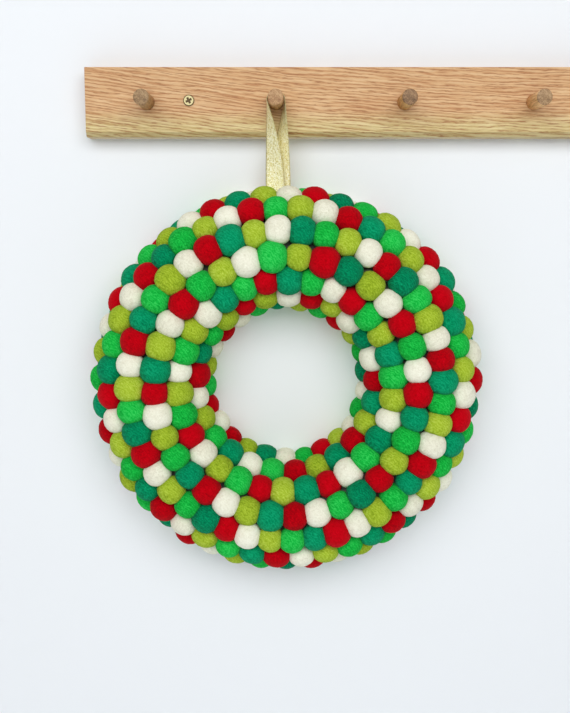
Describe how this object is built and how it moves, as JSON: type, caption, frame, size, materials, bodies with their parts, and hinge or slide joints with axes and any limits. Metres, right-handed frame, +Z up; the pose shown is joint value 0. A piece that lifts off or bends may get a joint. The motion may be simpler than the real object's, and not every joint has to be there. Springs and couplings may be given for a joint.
{
  "type": "felt ball wreath on a peg rail",
  "caption": "Wreath of wool felt balls in cream, red, teal, green and lime, hung by a gold ribbon loop from an oak peg rail.",
  "frame": {"origin": "middle of the rail board's back face, on the wall", "axes": "+X along the rail to the right, +Y into the wall, +Z up"},
  "size_m": [0.496, 0.0741, 0.3958],
  "materials": {
    "felt_cream": "matt wool felt, off white",
    "felt_red": "matt wool felt, red",
    "felt_teal": "matt wool felt, teal",
    "felt_green": "matt wool felt, bright green",
    "felt_lime": "matt wool felt, lime",
    "foam": "matt foam, pale grey",
    "ribbon": "woven ribbon with metallic thread, pale gold",
    "oak": "oiled oak",
    "peg_wood": "bare dowel, brown",
    "brass": "brass, satin"
  },
  "bodies": {
    "root": {"ball_block_01": "felt_cream", "ball_block_02": "felt_red", "ball_block_03": "felt_teal", "ball_block_04": "felt_green", "ball_block_05": "felt_lime", "ball_block_06": "felt_cream", "ball_block_07": "felt_red", "ball_block_08": "felt_teal", "ball_block_09": "felt_green", "ball_block_10": "felt_lime", "ball_block_11": "felt_cream", "ball_block_12": "felt_red", "foam_ring": "foam", "ribbon_loop": "ribbon", "rail_board": "oak", "peg_1": "peg_wood", "peg_2": "peg_wood", "peg_3": "peg_wood", "peg_4": "peg_wood", "peg_5": "peg_wood", "screw_left": "brass", "screw_right": "brass"}
  },
  "joints": []
}
